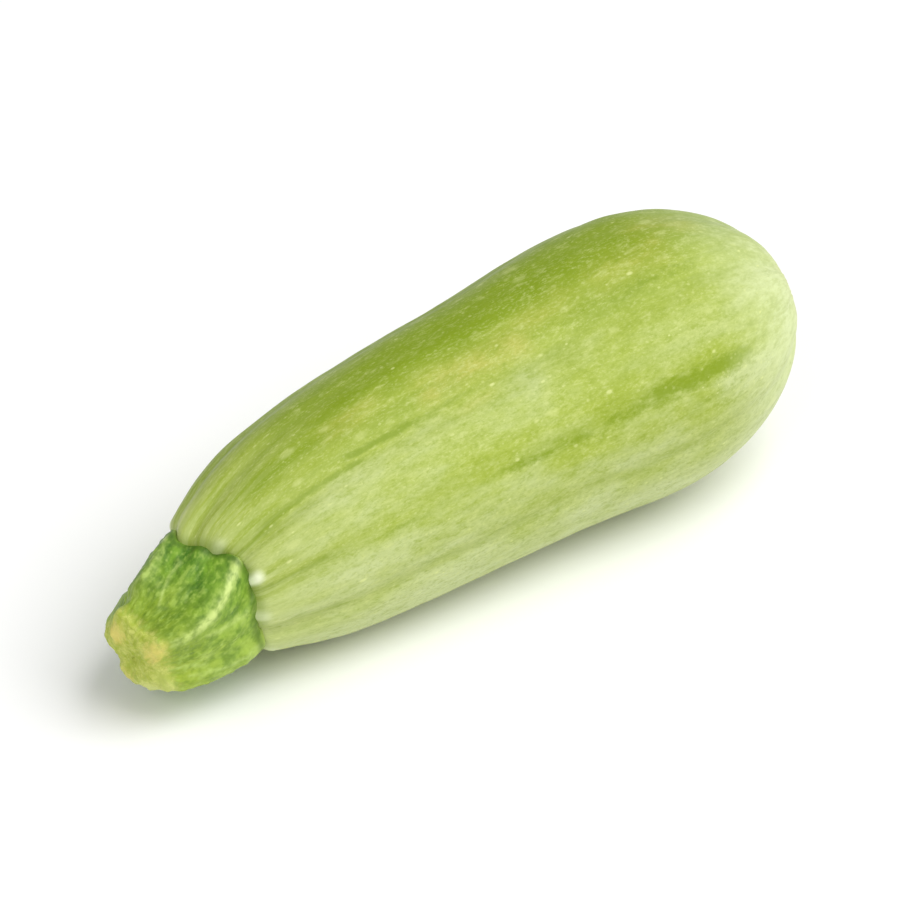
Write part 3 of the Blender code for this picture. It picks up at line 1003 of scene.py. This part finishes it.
def streaksAt(x, angle):
    arm = stalk["streakRadius"]
    total = np.zeros_like(x)
    for paleness, halfWidth, line in stalk["streaks"]:
        for (startX, startAngle), (endX, endAngle) in zip(line, line[1:]):
            stepX, stepTurn = endX - startX, radians(endAngle - startAngle) * arm
            fromX = x - startX
            fromTurn = np.radians((angle - startAngle + 180) % 360 - 180) * arm
            share = np.clip((fromX * stepX + fromTurn * stepTurn) / (stepX**2 + stepTurn**2), 0, 1)
            gap = np.hypot(fromX - share * stepX, fromTurn - share * stepTurn)
            total = np.maximum(total, paleness * bell(gap, 0, halfWidth))
    return total


def ribLines(phase, along, onCut):  # the raised line along each rib, and how pale it is
    s = stalk
    atEnds, halfway = s["lineOffset"]
    offset = atEnds + (halfway - atEnds) * np.sin(pi * along ** s["lineBow"])
    fromLine = np.degrees(phase) - offset
    ribStep = 360 / s["ribs"]
    gap = (fromLine + ribStep / 2) % ribStep - ribStep / 2
    line = bell(gap, 0, s["lineHalfWidth"]) * (1 - onCut)
    # Paleness, partly a painted highlight, brightest on the rib in front
    frontPale, otherPale = s["linePalenessAndHighlight"]
    start, end, loss = s["lineFade"]
    paleness = otherPale + (frontPale - otherPale) * sideBell(fromLine, 0, s["frontRibWidth"])
    return line, line * paleness * (1 - loss * fade(along, start, end))


def makeStalkSkin():
    material, tree, shader = newMaterial("stalkSkin")
    place = placeOf(tree, "stalkPlace")
    paint = coloursOf(stalk)
    grain = grainsOf(tree, place, stalk)
    patches, mottle, fine = grain["patches"], grain["mottle"], grain["fine"]
    fibres = linesOf(tree, place, stalk)["fibres"]
    dots = flecksOf(tree, place, stalk)

    flecks = calc(tree, "MAXIMUM", dots["small"], dots["large"])
    yellowing = unevenMask(tree, "yellowing", patches, 0.2, 0.6, 0.45, 1.0)
    colour = tint(tree, ease(tree, patches, 0.32, 0.68), paint["deep"], paint["green"])
    layers = (
        # Broad colour: deep green above, paler on the lower side, yellower towards the cut
        (times(tree, unevenMask(tree, "paleSide", patches, 0.35, 0.65, 0.45, 1.0), 0.9), "paleSide"),
        (times(tree, yellowing, 0.7), "yellowish"),
        # Mottling in two sizes and a few fibres
        (ease(tree, mottle, 0.5, 0.68, 0.0, 0.55), "mottleShade", "MULTIPLY"),
        (ease(tree, mottle, 0.5, 0.33, 0.0, 0.4), "mottleLight"),
        (ease(tree, fine, 0.52, 0.7, 0.0, 0.2), "fineShade", "MULTIPLY"),
        (ease(tree, fine, 0.48, 0.3, 0.0, 0.15), "fineLight"),
        (times(tree, fibres, 0.1), "fibre"),
        # Dark patches, pale streaks, the pale line along each rib that is partly a painted highlight,
        # flecks
        (unevenMask(tree, "darkPatches", mottle, 0.3, 0.6, 0.5, 1.0), "dark"),
        (unevenMask(tree, "streaks", mottle, 0.66, 0.36, 0.4, 1.0), "streak"),
        (unevenMask(tree, "ribLine", mottle, 0.66, 0.36, 0.25, 1.0), "ribLine"),
        (flecks, "fleck"),
    )
    colour = paintOver(tree, colour, paint, layers)

    # Cut end: it yellows gradually, with tan spots where it dried first
    cork = useGroup(tree, corkGroup, Place=objectPlace(tree), Size=stalk["corkSize"])
    cutColour = tint(tree, cork["Shade"], paint["cutDark"], paint["cutLight"])
    blend = calc(tree, "ADD", maskOf(tree, "cutTint"), ease(tree, mottle, 0.3, 0.7, -0.25, 0.25))
    colour = tint(tree, ease(tree, blend, 0.15, 0.95, 0.0, 0.85), colour, cutColour)
    tan = calc(tree, "ADD", maskOf(tree, "tanSpots"), ease(tree, mottle, 0.3, 0.7, -0.15, 0.15))
    layers = (
        (times(tree, maskOf(tree, "paleRim"), 0.5), "paleRim"),
        (ease(tree, tan, 0.15, 1.0, 0.0, 0.85), "tan"),
        # Foot: shaded beside the shoulder, pale where the shoulder hides it
        (times(tree, maskOf(tree, "footShade"), 0.6), "shade"),
        (maskOf(tree, "hiddenFoot"), "hidden"),
    )
    feed(tree, shader.inputs["Base Color"], paintOver(tree, colour, paint, layers))

    cut = maskOf(tree, "cutFace")
    roughness = ease(tree, patches, 0.2, 0.8, 0.42, 0.6)
    feed(tree, shader.inputs["Roughness"], calc(tree, "ADD", roughness, times(tree, cut, 0.2)))
    shader.inputs["IOR"].default_value = stalk["ior"]
    height = calc(tree, "ADD", times(tree, fibres, 0.2), times(tree, flecks, 0.8))
    height = calc(tree, "ADD", height, times(tree, mottle, -1.2))
    corkHeight = times(tree, cork["Height"], cut)
    height = calc(tree, "ADD", height, times(tree, corkHeight, 2.5))
    addBump(tree, shader, height, *stalk["bump"])
    return material


def buildStalk(move):
    s = stalk
    outline = stalkOutline()
    mesh = spunMesh("stalkSkin", outline, s["steps"])
    r = readRings(mesh, outline)
    x, angle, a = r["x"], r["angle"], np.radians(r["angle"])
    along = np.clip(-x / s["length"], 0, 1)

    # Ribs and valleys
    phase = np.radians(angle - s["firstRib"] - s["twist"] * along - s["ribBow"] * np.sin(pi * along))
    crest = (0.5 + 0.5 * np.cos(s["ribs"] * phase)) ** s["ribSharpness"]
    betweenRibs = np.maximum(np.cos(s["ribs"] * (phase - pi / s["ribs"])), 0)
    small = betweenRibs ** s["smallRibSharpness"] * (1 - along)
    atFoot, atCut = s["valleyDepth"]
    valley = atFoot + (atCut - atFoot) * along**2
    radius = r["radius"] * (1 - valley * (1 - crest) + s["smallRib"] * small)

    # Fine relief on the sides, lumps and cork on the cut
    place = skinPlace(r, s["skinRadius"], phase)
    onCut = fade(-r["outX"], *s["cutLean"]) * (x < s["cutFrom"])
    coarse, thin = s["fibreGrain"]
    fibres = fibreNoise(place, *coarse) + s["smallFibres"] * fibreNoise(place, *thin)
    warts = fade(fibreNoise(place, *s["wartGrain"]), *s["wartEdge"])
    lumps = doubleNoise(place, *s["lumpNoise"])
    relief = (s["fibres"] * fibres + s["warts"] * warts + s["lumps"] * lumps) * (1 - onCut)
    ribLine, linePale = ribLines(phase, along, onCut)
    streaks = streaksAt(x, angle)
    rimAt, rimLength, rimDepth = s["rimRounding"]
    relief += s["lineHeight"] * ribLine + s["streakHeight"] * streaks
    relief -= rimDepth * bell(x, rimAt, rimLength)
    for centre, at, halfWidth, halfLength, height in s["swellings"]:
        relief += height * sideBell(angle, centre, halfWidth) * bell(x, at, halfLength)
    across = np.stack([x, r["radius"] * np.cos(a), r["radius"] * np.sin(a)], 1)
    relief += sum(spotsOnCut(s["corkLumps"], across)) * (x < s["lumpsFrom"])
    relief += s["corkBumps"] * doubleNoise(across, *s["corkNoise"]) * onCut
    past = x + shoulderReach(0 * x, angle)  # distance past the edge of the shoulder
    tucked = s["tuckedIn"] * fade(past, *s["tuckedFrom"]) * (x < s["root"])
    relief = relief * (1 - fade(x, *s["reliefEnd"])) - tucked
    shownX = x + relief * r["outX"]
    points = alongMiddle(shownX, np.maximum(radius + relief * r["outRadius"], 0), angle) + move

    # The masks that the skin's material reads
    paleRim = fade(-x, *s["paleRim"]) * fade(r["radius"], *s["paleRimRadius"])
    paleSide = np.maximum(sideBell(angle, *s["paleSide"]), spotsAt(s["palePatches"], x, angle))
    tan = np.max(spotsOnCut(s["tanSpots"], across), axis=0)
    writePlace(mesh, "stalkPlace", place)
    writeMask(mesh, "ribLine", linePale)
    writeMask(mesh, "streaks", streaks)
    writeMask(mesh, "darkPatches", spotsAt(s["darkPatches"], x, angle))
    writeMask(mesh, "paleSide", paleSide)
    writeMask(mesh, "yellowing", fade(along, *s["yellowing"]))
    writeMask(mesh, "cutTint", fade(-x, *s["cutTint"]))
    writeMask(mesh, "cutFace", onCut)
    writeMask(mesh, "tanSpots", tan * fade(-x, *s["tanFrom"]))
    writeMask(mesh, "paleRim", paleRim * sideBell(angle, *s["paleRimSide"]))
    writeMask(mesh, "footShade", bell(past, *s["shade"]))
    writeMask(mesh, "hiddenFoot", fade(past, *s["hidden"]))
    return finishPiece(mesh, points, "stalkSkin", makeStalkSkin())


stalkPiece = buildStalk(move)
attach(stalkPiece, "root")
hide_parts("stalk")
print("stalk skin:", len(stalkPiece.data.polygons), "faces")

# Table, light and camera

studio = {
    "tableSize": 6000.0,
    "tableColour": (0.95, 0.95, 0.945, 1.0),
    "tableRoughness": 0.7,
    "skyColour": (1.0, 1.0, 1.0, 1.0),
    "skyStrength": 0.45,
    # Lamps: side in degrees as for the camera, height in degrees, distance, size, power in watts
    "lamps": {
        "softTop": (42.0, 58.0, 1300.0, 1200.0, 16.0),
        "softFront": (-70.0, 35.0, 1500.0, 900.0, 5.0),
    },
}

camera = {
    "azimuth": -36.0,  # from straight ahead, towards the stalk
    "elevation": 38.0,
    "distance": 1100.0,
    "lens": 255.9,
    "aimRight": 0.4,  # the point aimed at lies off the middle by this much
    "aimUp": -2.8,
    "farthest": 20000.0,
}


def directionFrom(azimuth, elevation):
    a, e = radians(azimuth), radians(elevation)
    return Vector((sin(a) * cos(e), -cos(a) * cos(e), sin(e)))


def buildTable():
    bm = bmesh.new()
    bmesh.ops.create_grid(bm, x_segments=1, y_segments=1, size=studio["tableSize"] / 2 * mm)
    mesh = bpy.data.meshes.new("table")
    bm.to_mesh(mesh)
    bm.free()
    material, _, shader = newMaterial("tableWhite")
    shader.inputs["Base Color"].default_value = studio["tableColour"]
    shader.inputs["Roughness"].default_value = studio["tableRoughness"]
    mesh.materials.append(material)
    table = bpy.data.objects.new("table", mesh)
    bpy.context.scene.collection.objects.link(table)
    return table


def buildLamps(aim):
    for name, (azimuth, elevation, distance, size, power) in studio["lamps"].items():
        light = bpy.data.lights.new(name, "AREA")
        light.shape = "SQUARE"
        light.size = size * mm
        light.energy = power
        lamp = bpy.data.objects.new(name, light)
        towards = directionFrom(azimuth, elevation)
        lamp.location = aim + towards * distance * mm
        lamp.rotation_euler = towards.to_track_quat("Z", "Y").to_euler()
        bpy.context.scene.collection.objects.link(lamp)


def buildSky():
    world = bpy.data.worlds.new("studioSky")
    world.use_nodes = True
    background = world.node_tree.nodes["Background"]
    background.inputs["Color"].default_value = studio["skyColour"]
    background.inputs["Strength"].default_value = studio["skyStrength"]
    bpy.context.scene.world = world


def buildCamera(middle):
    back = directionFrom(camera["azimuth"], camera["elevation"])
    turn = back.to_track_quat("Z", "Y")
    aim = middle + turn @ Vector((camera["aimRight"], camera["aimUp"], 0)) * mm
    view = bpy.data.cameras.new("photoView")
    view.lens = camera["lens"]
    view.clip_end = camera["farthest"] * mm
    viewObject = bpy.data.objects.new("photoView", view)
    viewObject.location = aim + back * camera["distance"] * mm
    viewObject.rotation_euler = turn.to_euler()
    bpy.context.scene.collection.objects.link(viewObject)
    bpy.context.scene.camera = viewObject


middle = (cadBox[0] + cadBox[1]) / 2
buildTable()
buildLamps(middle)
buildSky()
buildCamera(middle)
bpy.context.scene.view_settings.view_transform = "Standard"
print("table, lamps and camera are in place")
